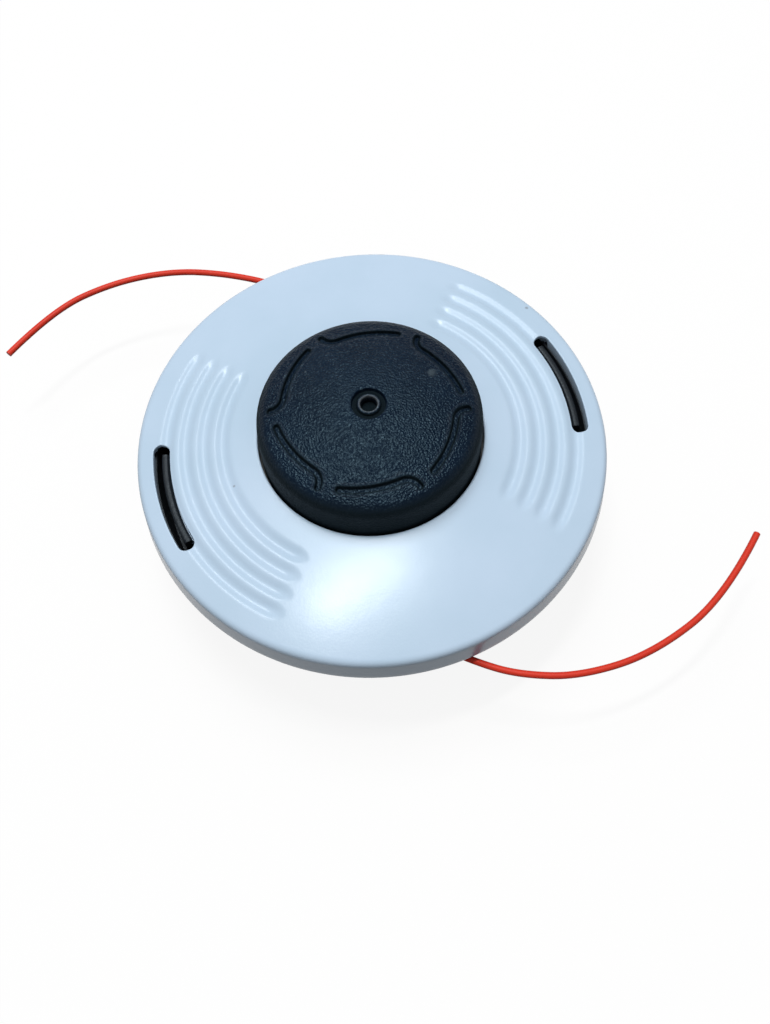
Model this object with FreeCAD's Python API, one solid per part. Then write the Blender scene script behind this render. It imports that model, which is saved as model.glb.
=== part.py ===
"""Bump feed trimmer head with a two-chamber spool, standing knob up on its mounting face.

Millimetres, +Z towards the knob. The origin is the centre of the mounting face. The two arc slots of
the cover lie on +X and -X, and the two line eyelets on -Y (line 1) and +Y (line 2).
"""
import math
import os

import FreeCAD
import Part

Vector = FreeCAD.Vector
AXIS = Vector(0, 0, 1)
ORIGIN = Vector(0, 0, 0)

# Cover: a shallow white dome with a short outer skirt
cover_radius = 68.8
cover_draft = 0.6
cover_edge_round = 1.8
cover_plate = 2.4
skirt_height = 8.4
skirt_wall = 2.3
rim_height = 42.0
dome_rise = 5.0
hole_gap = 0.5
hole_round = 0.6
collar_wall = 2.2
collar_drop = 3.0

# Ripples pressed into the cover, one fan of grooves on each side
ripple_count = 4
ripple_inset = 9.21
ripple_pitch = 5.45
ripple_width = 4.6
ripple_depth = 0.8
ripple_floor = 1.6
ripple_lift = 0.15
ripple_half_angle = 49.5

# Arc slots of the cover and the latch tongues that stand in them
slot_inset = 7.5
slot_width = 4.8
slot_half_angle = 14.3
slot_lip = 0.95
slot_ledge = 0.8
slot_ledge_drop = 2.1
slot_rib = 1.5
slot_rib_drop = 4.6
slot_overrun = 3.2
tongue_wall = 1.5
tongue_inset = 1.0
tongue_half_angle = 14.0
tongue_top = 0.2
tongue_hook = 0.7
tongue_chamfer = 0.5
tongue_foot = 16.5
tongue_shelf = 2.5

# Bump knob
knob_radius = 31.7
knob_draft = 0.3
knob_height = 21.0
knob_dome_rise = 4.9
knob_edge_round = 4.2
knob_edge_steps = 3
knob_crown_steps = 3
knob_face = 7.6
knob_wall = 2.6
knob_skirt = 1.2
finger_gap = 0.4
finger_wall = 2.2
finger_hook = 1.2
finger_angle = 34.0
finger_count = 4
groove_count = 6
groove_turn = -5.8
groove_width = 1.7
groove_depth = 1.0
groove_start_inset = 5.7
groove_middle_inset = 6.8
groove_waist_inset = 7.6
groove_end_inset = 4.3
groove_middle_angle = 16.5
groove_waist_angle = 39.8
groove_end_angle = 48.1
mark_hole = 2.4
mark_hole_depth = 3.2
mark_ridge = 3.3
mark_ridge_drop = 0.3
mark_ring = 4.5
mark_ring_depth = 1.2
mark_brim = 5.0

# Line and where it leaves the housing
line_diameter = 2.0
line_sides = 8
line_drop = 3.1
eyelet_inset = 3.2
eyelet_lean = 45.0
eyelet_bore = 1.6
eyelet_body = 3.0
eyelet_length = 6.6
eyelet_flange = 4.2
eyelet_flange_wall = 1.2
eyelet_boss = 5.2
boss_inset = 1.2
clearance = 0.3

# Spool and its index lugs
spool_gap = 9.8
spool_core = 22.0
spool_bore = 17.0
spool_flange = 1.6
divider_inset = 8.0
chamber_height = 8.4
nose_gap = 2.6
nose_wall = 3.0
nose_ledge = 1.1
nose_ledge_height = 7.0
web_wall = 3.0
bump_stroke = 5.0
running_gap = 0.2
lug_count = 6
lug_angle = 5.0
lug_play = 0.3
lug_inset = 3.5
lug_reach = 6.0
lug_height = 3.0
lug_engagement = 2.4
park_notch = 2.4

# Housing, post and arbor insert
bowl_gap = 0.5
bowl_wall = 2.6
bowl_flat_margin = 1.0
bowl_steps = 3
bowl_floor = 3.0
bowl_foot_inset = 1.4
bowl_seat_drop = 2.8
floor_gap = 0.4
hub_radius = 21.0
rib_count = 8
rib_wall = 2.4
rib_reach = 1.2
post_boss = 13.0
pin_radius = 8.0
pin_gap = 0.08
insert_flats = 17.0
insert_length = 14.0
insert_bore = 4.32
insert_chamfer = 0.8
shaft_bore = 5.2
shaft_depth = 20.0
washer_wall = 1.0
spring_radius = 14.6
spring_wire = 1.8
spring_turns = 5.5

# Heights and radii that follow
rim_radius = cover_radius - cover_draft
skirt_z = rim_height - skirt_height
line_z = skirt_z - line_drop
line_radius = line_diameter / 2
hole_radius = knob_radius + knob_draft + hole_gap
hole_z = rim_height + dome_rise
collar_z = rim_height - collar_drop
seat_z = rim_height - bowl_seat_drop
ledge_z = rim_height - slot_ledge_drop
skirt_inner = rim_radius - skirt_wall
bowl_radius = skirt_inner - bowl_gap
slot_radius = rim_radius - slot_inset
ripple_first_radius = rim_radius - ripple_inset - (ripple_count - 1) * ripple_pitch
eyelet_radius = bowl_radius - eyelet_inset
spool_radius = bowl_radius - bowl_wall - spool_gap
spool_divider = spool_radius - divider_inset
lug_outer = spool_radius - lug_inset
lug_inner = lug_outer - lug_reach
dome_centre = (hole_radius ** 2 + hole_z ** 2 - rim_radius ** 2 - rim_height ** 2) / (2 * dome_rise)
dome_radius = math.hypot(rim_radius, rim_height - dome_centre)
spool_top = collar_z - running_gap
upper_top = spool_top - spool_flange
upper_floor = upper_top - chamber_height
lower_top = upper_floor - spool_flange
lower_floor = lower_top - chamber_height
spool_foot = lower_floor - spool_flange
lug_foot = spool_foot - lug_height
floor_z = lug_foot - bump_stroke - floor_gap
web_z = spool_top + 1.2
nose_radius = knob_radius - knob_wall - nose_gap
nose_bore = nose_radius - nose_wall
finger_radius = nose_bore - nose_ledge - finger_gap
groove_start_radius = knob_radius - groove_start_inset
groove_middle_radius = knob_radius - groove_middle_inset
groove_waist_radius = knob_radius - groove_waist_inset
groove_end_radius = knob_radius - groove_end_inset
knob_top = rim_height + knob_height
knob_inner_z = knob_top - knob_face
knob_foot = rim_height + knob_skirt
ledge_foot = knob_inner_z - nose_ledge_height
pin_top = web_z + web_wall + 4.0
lean = math.radians(eyelet_lean)
tangent_radius = eyelet_radius * math.sin(lean)
tangent_run = eyelet_radius * math.cos(lean)
pack_radius = tangent_radius - line_radius - clearance
tongue_radius = slot_radius - slot_width / 2 + tongue_inset
index_offset = lug_angle + lug_play
index_pitch = 360.0 / lug_count
bowl_flat = lug_outer + bowl_flat_margin


def dome_z(radius, drop=0.0):
    """Height of the cover's dome at a radius, or of the sphere that lies a drop below it."""
    return dome_centre + math.sqrt((dome_radius - drop) ** 2 - radius ** 2)


def section(steps):
    """Flat face in the XZ plane from (r, z) corners."""
    return flat_face([Vector(r, 0, z) for r, z in steps])


def bend(start, end, count):
    """Corners of a quarter ellipse from a level start to an upright end, in (r, z)."""
    corners = []
    for k in range(1, count + 1):
        angle = math.radians(90.0 * k / count)
        wide = (end[0] - start[0]) * math.sin(angle)
        tall = (end[1] - start[1]) * (1 - math.cos(angle))
        corners.append((start[0] + wide, start[1] + tall))
    return corners


def turned(steps, degrees=360.0, start=0.0):
    """Solid of revolution about Z of a section, from a start angle."""
    solid = section(steps).revolve(ORIGIN, AXIS, degrees)
    solid.rotate(ORIGIN, AXIS, start)
    return solid


def sector(inner, outer, low, high, middle, half):
    """Arc-shaped block between two radii and two heights, about a middle angle in degrees."""
    corners = [(inner, low), (outer, low), (outer, high), (inner, high)]
    return turned(corners, 2 * half, middle - half)


def disc(radius, low, high):
    """Upright cylinder on the axis between two heights."""
    return Part.makeCylinder(radius, high - low, Vector(0, 0, low), AXIS)


def ring(inner, outer, low, high):
    """Upright tube on the axis between two heights."""
    return turned([(inner, low), (outer, low), (outer, high), (inner, high)])


def polar(radius, degrees, z=0.0):
    """Point at a radius, an angle in degrees and a height."""
    angle = math.radians(degrees)
    return Vector(radius * math.cos(angle), radius * math.sin(angle), z)


def spun(shape, degrees):
    """Copy of a shape turned about Z."""
    copy = shape.copy()
    copy.rotate(ORIGIN, AXIS, degrees)
    return copy


def arc_slot(inner, outer, low, high, middle, half):
    """Arc slot with round ends whose centres lie at the half angle either side of the middle."""
    mid = (inner + outer) / 2
    reach = half + math.degrees((outer - inner) / 2 / mid)
    corners = [polar(outer, middle - half, low), polar(outer, middle + half, low)]
    corners += [polar(inner, middle + half, low), polar(inner, middle - half, low)]
    tips = [polar(outer, middle, low), polar(mid, middle + reach, low)]
    tips += [polar(inner, middle, low), polar(mid, middle - reach, low)]
    edges = [Part.Arc(corners[k], tips[k], corners[(k + 1) % 4]).toShape() for k in range(4)]
    return Part.Face(Part.Wire(edges)).extrude(Vector(0, 0, high - low))


def along_line(s, z):
    """Point of line 1 at a distance s outward from its eyelet's mouth, at a height."""
    return Vector(s * math.sin(lean), -eyelet_radius - s * math.cos(lean), z)


def tube(points, radius, name=""):
    """Many-sided rod along straight runs joined by tangent arcs, its corner radii printed."""
    edges = []
    last = points[0]
    radii = []
    for before, corner, after in zip(points[:-2], points[1:-1], points[2:]):
        back = (before - corner).normalize()
        ahead = (after - corner).normalize()
        half_turn = (math.pi - back.getAngle(ahead)) / 2
        reach = 0.45 * min((before - corner).Length, (after - corner).Length)
        radii.append(reach / math.tan(half_turn))
        bisector = (back + ahead).normalize()
        centre = corner + bisector * (reach / math.sin(half_turn))
        start = corner + back * reach
        end = corner + ahead * reach
        middle = centre - bisector * radii[-1]
        edges.append(Part.LineSegment(last, start).toShape())
        edges.append(Part.Arc(start, middle, end).toShape())
        last = end
    edges.append(Part.LineSegment(last, points[-1]).toShape())
    path = Part.Wire(edges)
    heading = (points[1] - points[0]).normalize()
    side = heading.cross(AXIS).normalize()
    lift = side.cross(heading)
    corner = radius / math.cos(math.pi / line_sides)
    corners = []
    for k in range(line_sides):
        angle = 2 * math.pi * (k + 0.5) / line_sides
        corners.append(points[0] + side * (corner * math.cos(angle)) + lift * (corner * math.sin(angle)))
    profile = flat_face(corners)
    solid = path.makePipeShell([profile.OuterWire], True, False)
    share = solid.Volume / (profile.Area * path.Length)
    print(name, "corner radii", [round(r, 1) for r in radii], "length", round(path.Length, 1))
    print(name, "volume over section times length", round(share, 4))
    return solid


def make_cover():
    """White cover: dome and skirt, collar round the knob hole, lugs, slots with a latch ledge, and ripples."""
    top = rim_radius - cover_edge_round
    turn = cover_edge_round * math.sqrt(0.5)
    brow = hole_radius + hole_round
    inner = hole_radius + collar_wall
    seat_inner = bowl_radius - bowl_wall - running_gap
    ridges = [ripple_first_radius + (k - 0.5) * ripple_pitch for k in range(ripple_count - 1, 0, -2)]
    mid_low = (inner + seat_inner) / 2
    cover = turned([
        (cover_radius, skirt_z),
        (rim_radius, rim_height - cover_edge_round),
        (top + turn, rim_height - cover_edge_round + turn),
        (top, dome_z(top)),
    ] + [(radius, dome_z(radius)) for radius in ridges] + [
        (brow, dome_z(brow)),
        (hole_radius, dome_z(brow) - hole_round),
        (hole_radius, collar_z),
        (inner, collar_z),
        (inner, dome_z(inner, cover_plate)),
        (mid_low, dome_z(mid_low, cover_plate)),
        (seat_inner, dome_z(seat_inner, cover_plate)),
        (seat_inner, seat_z),
        (skirt_inner, seat_z),
        (skirt_inner, skirt_z),
    ], 360.0, 90.0)
    middle_sphere = Part.makeSphere(dome_radius - cover_plate / 2, Vector(0, 0, dome_centre))
    slot_inner = slot_radius - slot_width / 2
    slot_outer = slot_radius + slot_width / 2
    lug_z = spool_top + lug_height - lug_engagement
    blocks = []
    for k in range(lug_count):
        middle = k * index_pitch + index_offset
        blocks.append(sector(lug_inner, lug_outer, lug_z, hole_z, middle, lug_angle / 2))
    for side in (0.0, 180.0):
        foot = rim_height - slot_rib_drop
        ledge_end = slot_inner + slot_ledge
        blocks.append(sector(slot_inner - slot_rib, ledge_end, foot, hole_z, side, slot_half_angle + slot_overrun))
    cover = cover.multiFuse([block.common(middle_sphere) for block in blocks])
    cuts = []
    for side in (0.0, 180.0):
        cuts.append(arc_slot(slot_inner, slot_outer, ledge_z, hole_z, side, slot_half_angle))
        lip_z = dome_z(slot_outer) - slot_lip
        cuts.append(sector(ledge_end, slot_outer - 0.15, skirt_z, lip_z, side, slot_half_angle + slot_overrun))
        cuts.extend(ripple_cutters(side))
    return cover.cut(cuts)


def ripple_cutters(side):
    """Ring segments of a shallow trough with round ends that press one fan of ripples into the dome."""
    floor = ripple_floor / 2
    brim = floor + (ripple_width / 2 - floor) * (ripple_depth + ripple_lift) / ripple_depth
    cutters = []
    for k in range(ripple_count):
        radius = ripple_first_radius + k * ripple_pitch
        half = ripple_half_angle - math.degrees(ripple_width / 2 / radius)
        middle = Vector(radius, 0, dome_z(radius))
        up = (middle - Vector(0, 0, dome_centre)).normalize()
        across = Vector(up.z, 0, -up.x)
        low = middle - up * ripple_depth
        high = middle + up * ripple_lift
        trough = flat_face([high - across * brim, low - across * floor, low + across * floor, high + across * brim])
        cutter = trough.revolve(ORIGIN, AXIS, 2 * half)
        cutter.rotate(ORIGIN, AXIS, side - half)
        ends = []
        for way in (-1, 1):
            wing = flat_face([low, low + across * (way * floor), high + across * (way * brim), high])
            ends.append(spun(wing.revolve(middle, up, 180), side + way * half))
        cutters.append(cutter.multiFuse(ends))
    return cutters


def flat_face(corners):
    """Flat face with the given corners."""
    return Part.Face(Part.makePolygon(corners + corners[:1]))


def make_knob():
    """Bump knob: domed wear cap with six curled grooves, a centre mark and four snap fingers."""
    ball = (knob_radius ** 2 + knob_dome_rise ** 2) / (2 * knob_dome_rise)
    centre = knob_top - ball
    round_r = knob_radius - knob_edge_round
    round_z = centre + math.sqrt((ball - knob_edge_round) ** 2 - round_r ** 2)
    lift = math.atan2(round_z - centre, round_r)
    edge = []
    for k in range(1, knob_edge_steps + 1):
        angle = lift * k / knob_edge_steps
        edge.append((round_r + knob_edge_round * math.cos(angle), round_z + knob_edge_round * math.sin(angle)))
    groove_band = groove_waist_radius - groove_width
    crown = []
    for k in range(knob_crown_steps):
        radius = groove_band * (1 - k / knob_crown_steps)
        crown.append((radius, centre + math.sqrt(ball ** 2 - radius ** 2)))
    inner = knob_radius - knob_wall
    knob = turned([
        (knob_radius + knob_draft, knob_foot),
        (knob_radius, round_z),
    ] + edge + crown + [
        (0.0, knob_top),
        (0.0, knob_inner_z),
        (inner, knob_inner_z),
        (inner, knob_foot),
    ], 360.0, groove_turn - 4.3)
    hook = finger_radius + finger_hook
    tip = ledge_foot - running_gap
    finger = [
        (finger_radius - finger_wall, knob_inner_z + 0.5),
        (finger_radius - finger_wall, tip - 3.0),
        (finger_radius, tip - 3.0),
        (hook, tip - 1.5),
        (hook, tip),
        (finger_radius, tip),
        (finger_radius, knob_inner_z + 0.5),
    ]
    fingers = []
    for k in range(finger_count):
        fingers.append(turned(finger, finger_angle, k * 360.0 / finger_count - finger_angle / 2))
    mark = turned([
        (0.0, knob_top - mark_hole_depth),
        (mark_hole, knob_top - mark_hole_depth),
        (mark_hole, knob_top - mark_ridge_drop),
        (mark_ridge, knob_top - mark_ridge_drop),
        (mark_ridge, knob_top - mark_ring_depth),
        (mark_ring, knob_top - mark_ring_depth),
        (mark_brim, knob_top + 1.0),
        (0.0, knob_top + 1.0),
    ])
    floor = turned([
        (0.0, round_z - groove_depth),
        (edge[-1][0], round_z - groove_depth),
        (edge[-1][0], edge[-1][1] - groove_depth),
        (groove_band, crown[0][1] - groove_depth),
        (0.0, crown[0][1] - groove_depth),
    ])
    groove = curled_channel(round_z, knob_top + 1.0).cut(floor).Solids[0]
    for k in range(groove_count):
        knob = knob.cut(spun(groove, groove_turn + k * 360.0 / groove_count))
    return knob.cut(mark).multiFuse(fingers)


def curled_channel(low, high):
    """Upright channel along a long arc that narrows towards the axis and then hooks outwards."""
    start = polar(groove_start_radius, 0.0)
    middle = polar(groove_middle_radius, groove_middle_angle)
    waist = polar(groove_waist_radius, groove_waist_angle)
    end = polar(groove_end_radius, groove_end_angle)
    main = Part.Arc(start, middle, waist).toShape()
    hub = main.Curve.Center
    normal = (waist - hub).normalize()
    chord = end - waist
    hook_radius = chord.Length ** 2 / (2 * chord.dot(normal))
    hook_hub = waist + normal * hook_radius
    main_angle = math.degrees((start - hub).getAngle(waist - hub))
    hook_angle = math.degrees((waist - hook_hub).getAngle(end - hook_hub))
    parts = [
        swung_channel(hub, start, main_angle, low, high),
        swung_channel(hook_hub, end, hook_angle, low, high),
        Part.makeCylinder(groove_width / 2, high - low, start + AXIS * low, AXIS),
        Part.makeCylinder(groove_width / 2, high - low, end + AXIS * low, AXIS),
    ]
    return parts[0].multiFuse(parts[1:]).Solids[0]


def swung_channel(hub, start, degrees, low, high):
    """Block of the groove's width swung about an upright line through a hub point."""
    arm = (start - hub).normalize()
    near = start - arm * (groove_width / 2)
    far = start + arm * (groove_width / 2)
    corners = [near + AXIS * low, far + AXIS * low, far + AXIS * high, near + AXIS * high]
    return flat_face(corners).revolve(hub, AXIS, degrees)


def make_spool():
    """Two-chamber spool with index lugs on both faces, a guide web and a nose for the knob."""
    spool = turned([
        (spool_bore, spool_foot),
        (spool_radius, spool_foot),
        (spool_radius, lower_floor),
        (spool_core, lower_floor),
        (spool_core, lower_top),
        (spool_divider, lower_top),
        (spool_divider, upper_floor),
        (spool_core, upper_floor),
        (spool_core, upper_top),
        (spool_radius, upper_top),
        (spool_radius, spool_top),
        (nose_radius, spool_top),
        (nose_radius, knob_inner_z),
        (nose_bore - nose_ledge, knob_inner_z),
        (nose_bore - nose_ledge, ledge_foot),
        (nose_bore, ledge_foot),
        (nose_bore, web_z + web_wall),
        (pin_radius + pin_gap, web_z + web_wall),
        (pin_radius + pin_gap, web_z),
        (spool_bore, web_z),
    ])
    lugs = []
    for k in range(lug_count):
        middle = k * index_pitch
        lugs.append(sector(lug_inner, lug_outer, spool_top - 0.5, spool_top + lug_height, middle, lug_angle / 2))
        lugs.append(sector(lug_inner, lug_outer, lug_foot, spool_foot + 0.5, middle, lug_angle / 2))
    spool = spool.multiFuse(lugs)
    notch = Part.makeBox(8.0, park_notch, 4 * spool_flange)
    notch.translate(Vector(spool_radius - 5.0, -park_notch / 2, upper_top - 2 * spool_flange))
    loop = Part.makeBox(12.0, 2 * park_notch, 3 * spool_flange)
    loop.translate(Vector(spool_divider - 8.0, -park_notch, lower_top - spool_flange))
    return spool.cut([spun(notch, 30), spun(notch, 210), spun(loop, 30)])


def make_pack(low):
    """Wound line of one chamber as one solid, without its separate turns."""
    return ring(spool_core + 0.05, pack_radius, low + running_gap, low + chamber_height - running_gap)


def make_housing():
    """One-piece housing: bowl, post, hub, ribs, latch tongues, eyelet bosses and floor lugs."""
    floor_under = floor_z - bowl_floor
    foot_z = line_z - 3.5
    foot_r = bowl_radius - bowl_foot_inset
    outer = turned([
        (0.0, floor_under),
        (bowl_flat, floor_under),
    ] + bend((bowl_flat, floor_under), (foot_r, foot_z), bowl_steps) + [
        (bowl_radius, seat_z),
        (0.0, seat_z),
    ])
    inner = turned([
        (0.0, floor_z),
        (bowl_flat, floor_z),
    ] + bend((bowl_flat, floor_z), (foot_r - bowl_wall, foot_z), bowl_steps) + [
        (bowl_radius - bowl_wall, seat_z),
        (bowl_radius - bowl_wall, seat_z + 1.0),
        (0.0, seat_z + 1.0),
    ])
    boss = Part.makeCylinder(eyelet_boss, 3 * eyelet_length, along_line(boss_inset - eyelet_length, line_z), line_heading())
    boss = boss.common(outer)
    boss_top = max(insert_length, floor_z) + 4.0
    post = turned([
        (0.0, 0.0),
        (hub_radius, 0.0),
        (hub_radius, floor_under + 0.5),
        (post_boss, floor_under + 0.5),
        (post_boss, boss_top),
        (pin_radius, boss_top + 2.0),
        (pin_radius, pin_top - 1.0),
        (pin_radius - 1.0, pin_top),
        (0.0, pin_top),
    ])
    parts = [post, boss, spun(boss, 180)]
    for side in (0.0, 180.0):
        parts.append(make_tongue(side))
    for k in range(lug_count):
        middle = (k + 0.5) * index_pitch + index_offset
        top = lug_foot - bump_stroke + lug_engagement
        parts.append(sector(lug_inner, lug_outer, floor_z - 0.5, top, middle, lug_angle / 2))
    rib = section([
        (hub_radius - 1.0, rib_reach),
        (bowl_flat, floor_under - rib_reach),
        (bowl_flat, floor_under + 0.5),
        (hub_radius - 1.0, floor_under + 0.5),
    ]).extrude(Vector(0, rib_wall, 0))
    rib.translate(Vector(0, -rib_wall / 2, 0))
    parts.extend(spun(rib, k * 360.0 / rib_count) for k in range(rib_count))
    housing = outer.cut(inner).multiFuse(parts)
    cuts = [hexagon(insert_flats, -0.5, insert_length), disc(shaft_bore, 0.0, shaft_depth)]
    bore = Part.makeCylinder(eyelet_body + 0.03, 4 * eyelet_length, along_line(-2 * eyelet_length, line_z), line_heading())
    pocket_foot = along_line(-eyelet_flange_wall, line_z)
    pocket = Part.makeCylinder(eyelet_flange + clearance, 2 * eyelet_length, pocket_foot, line_heading())
    cuts.extend([bore, pocket, spun(bore, 180), spun(pocket, 180)])
    return housing.cut(cuts).removeSplitter()


def line_heading():
    """Direction in which line 1 leaves its eyelet."""
    return Vector(math.sin(lean), -math.cos(lean), 0)


def make_tongue(side):
    """Latch tongue that rises from a shelf on the bowl's wall and hooks inwards over the slot's ledge."""
    foot = rim_height - tongue_foot
    outer = tongue_radius + tongue_wall
    hook = tongue_radius - tongue_hook
    top = rim_height + tongue_top
    shelf_end = bowl_radius - 1.5
    return turned([
        (tongue_radius, foot),
        (shelf_end - 1.0, foot),
        (shelf_end, foot + tongue_shelf),
        (outer, foot + tongue_shelf),
        (outer, top - tongue_chamfer),
        (outer - tongue_chamfer, top),
        (tongue_radius, top),
        (hook, top - 2 * tongue_chamfer),
        (hook, ledge_z + 0.1),
        (tongue_radius, ledge_z + 0.1),
    ], 2 * tongue_half_angle, side - tongue_half_angle)


def hexagon(flats, low, high):
    """Upright hexagonal prism on the axis."""
    corner = flats / math.sqrt(3)
    corners = [polar(corner, 60 * k + 30, low) for k in range(6)]
    return flat_face(corners).extrude(Vector(0, 0, high - low))


def make_insert():
    """Hexagonal arbor nut moulded into the hub, bored to the thread's minor diameter."""
    mouth = insert_bore + insert_chamfer
    bore = turned([
        (0.0, -1.0),
        (mouth, -1.0),
        (mouth, 0.0),
        (insert_bore, insert_chamfer),
        (insert_bore, insert_length + 1.0),
        (0.0, insert_length + 1.0),
    ])
    return hexagon(insert_flats, 0.0, insert_length).cut(bore)


def make_eyelet():
    """Flanged line eyelet of line 1 with a flared mouth, lying along the line."""
    mouth = eyelet_bore + 1.0
    eyelet = turned([
        (eyelet_bore, -eyelet_length),
        (eyelet_body, -eyelet_length),
        (eyelet_body, -eyelet_flange_wall),
        (eyelet_flange, -eyelet_flange_wall),
        (eyelet_flange, 0.0),
        (mouth, 0.0),
        (eyelet_bore, -1.0),
    ])
    eyelet.rotate(ORIGIN, Vector(1, 0, 0), 90)
    eyelet.rotate(ORIGIN, AXIS, eyelet_lean)
    eyelet.translate(along_line(0.0, line_z))
    return eyelet


def make_spring():
    """Compression spring of straight lengths of hexagonal wire round the post, its end turns closed."""
    low = floor_z + running_gap + spring_wire / 2
    high = web_z - washer_wall - running_gap - spring_wire / 2
    steps = 12
    count = int(spring_turns * steps)
    closed = (spring_wire + 0.2) / steps
    open_rise = (high - low - 2 * steps * closed) / (count - 2 * steps)
    points = []
    height = low
    for k in range(count + 1):
        points.append(polar(spring_radius, 360.0 * k / steps, height))
        dead = k < steps or k >= count - steps
        height += closed if dead else open_rise
    path = Part.makePolygon(points)
    heading = (points[1] - points[0]).normalize()
    side = Vector(points[0].x, points[0].y, 0).normalize()
    lift = heading.cross(side)
    corners = []
    for k in range(6):
        angle = math.radians(60 * k)
        spoke = side * math.cos(angle) + lift * math.sin(angle)
        corners.append(points[0] + spoke * (spring_wire / 2))
    profile = Part.Wire(Part.makePolygon(corners + corners[:1]))
    return path.makePipeShell([profile], True, False, 1)


def make_lead_lower():
    """Inside run of line 2 from the lower chamber, climbing past the divider to its eyelet."""
    level = lower_floor + line_radius + 0.7
    points = [
        along_line(-tangent_run, level),
        along_line(-tangent_run + 12.0, level),
        along_line(-eyelet_length - 4.0, line_z),
        along_line(-0.02, line_z),
    ]
    return spun(tube(points, line_radius, "line_lead_2"), 180)


def make_lead_upper():
    """Inside run of line 1 from the upper chamber straight to its eyelet."""
    length = tangent_run - 0.02
    return Part.makeCylinder(line_radius, length, along_line(-tangent_run, line_z), line_heading())


def line_route(points):
    """Route of a free line end from its eyelet's mouth through plan points at the line's height."""
    return [Vector(x, y, line_z) for x, y in points]


# Free line ends, read off the photograph at the eyelets' height
route_1 = line_route([
    (0.0, -eyelet_radius), (8.2, -69.7), (18.0, -76.4), (33.0, -81.9),
    (54.5, -82.3), (80.5, -73.5), (97.6, -58.5),
])
route_2 = line_route([
    (0.0, eyelet_radius), (-9.2, 71.0), (-24.5, 81.0), (-41.0, 87.9),
    (-61.0, 89.6), (-81.6, 85.1), (-98.1, 72.9),
])

eyelet = make_eyelet()
pieces = {
    "upper_housing": make_housing(),
    "arbor_insert": make_insert(),
    "line_eyelet_1": eyelet,
    "line_eyelet_2": spun(eyelet, 180),
    "lower_cover": make_cover(),
    "bump_spring": make_spring(),
    "thrust_washer": ring(pin_radius + 0.4, spool_bore - 0.6, web_z - washer_wall, web_z),
    "line_spool": make_spool(),
    "line_pack_upper": make_pack(upper_floor),
    "line_pack_lower": make_pack(lower_floor),
    "bump_knob": make_knob(),
    "line_lead_1": make_lead_upper(),
    "line_lead_2": make_lead_lower(),
    "line_end_1": tube(route_1, line_radius, "line_end_1"),
    "line_end_2": tube(route_2, line_radius, "line_end_2"),
}

os.makedirs("parts", exist_ok=True)
for node, shape in pieces.items():
    assert shape.isValid(), node
    assert len(shape.Solids) == 1, (node, len(shape.Solids))
    shape.Solids[0].exportStep("parts/" + node + ".step")
    box = shape.BoundBox
    print(node, round(shape.Volume, 1), [round(v, 2) for v in (box.XMin, box.YMin, box.ZMin, box.XMax, box.YMax, box.ZMax)])
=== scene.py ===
"""Dresses the bump feed trimmer head: cover, knob, housing, spring and free lines over the solids.

Shapes are worked out in millimetres in the part's frame (+Z towards the knob) and made metres in
the mesh.
"""
import math

import bmesh
import bpy
import numpy as np
from mathutils import Matrix, Vector


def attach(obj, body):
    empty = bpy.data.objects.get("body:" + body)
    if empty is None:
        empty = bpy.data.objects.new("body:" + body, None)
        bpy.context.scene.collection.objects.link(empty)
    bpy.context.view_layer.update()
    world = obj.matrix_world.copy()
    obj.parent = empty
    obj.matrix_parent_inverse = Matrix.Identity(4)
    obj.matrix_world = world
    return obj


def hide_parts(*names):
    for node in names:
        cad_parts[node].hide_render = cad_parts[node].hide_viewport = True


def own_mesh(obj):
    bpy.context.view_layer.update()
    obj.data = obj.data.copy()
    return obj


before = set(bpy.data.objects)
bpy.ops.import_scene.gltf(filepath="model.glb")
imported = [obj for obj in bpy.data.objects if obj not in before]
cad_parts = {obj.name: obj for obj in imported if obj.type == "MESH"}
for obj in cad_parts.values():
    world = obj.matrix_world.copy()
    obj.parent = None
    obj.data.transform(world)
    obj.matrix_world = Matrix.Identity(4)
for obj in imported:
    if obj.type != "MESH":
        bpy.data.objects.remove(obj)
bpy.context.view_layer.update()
MM = 0.001

# Camera and free lines

CAMERA_PLACE = Vector((-37.92, -149.62, 317.18)) * MM
CAMERA_TARGET = Vector((-3.29, -23.21, 42.0)) * MM
CAMERA_ROLL = math.radians(-2.91)
CAMERA_LENS = 38.11
SENSOR_HEIGHT = 36.0
NEAR_CLIP = 0.01
LINE_Z = 30.5
LINE_RADIUS = 1.0
LINE_ROUTES = {
    "line_end_1": [
        (0.0, -62.2), (8.2, -69.7), (18.0, -76.4), (33.0, -81.9),
        (54.5, -82.3), (80.5, -73.5), (97.6, -58.5),
    ],
    "line_end_2": [
        (0.0, 62.2), (-9.2, 71.0), (-24.5, 81.0), (-41.0, 87.9),
        (-61.0, 89.6), (-81.6, 85.1), (-98.1, 72.9),
    ],
}


def aim_camera():
    """Camera at the photograph's viewing angle, rolled a little about its own axis."""
    ahead = (CAMERA_TARGET - CAMERA_PLACE).normalized()
    right = ahead.cross(Vector((0, 0, 1))).normalized()
    up = right.cross(ahead)
    side = right * math.cos(CAMERA_ROLL) + up * math.sin(CAMERA_ROLL)
    top = up * math.cos(CAMERA_ROLL) - right * math.sin(CAMERA_ROLL)
    camera = bpy.data.cameras.new("photo_camera")
    camera.sensor_fit = "VERTICAL"
    camera.sensor_height = SENSOR_HEIGHT
    camera.lens = CAMERA_LENS
    camera.clip_start = NEAR_CLIP
    holder = bpy.data.objects.new("photo_camera", camera)
    turn = Matrix((side, top, -ahead)).transposed().to_4x4()
    holder.matrix_world = Matrix.Translation(CAMERA_PLACE) @ turn
    bpy.context.scene.collection.objects.link(holder)
    bpy.context.scene.camera = holder


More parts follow.
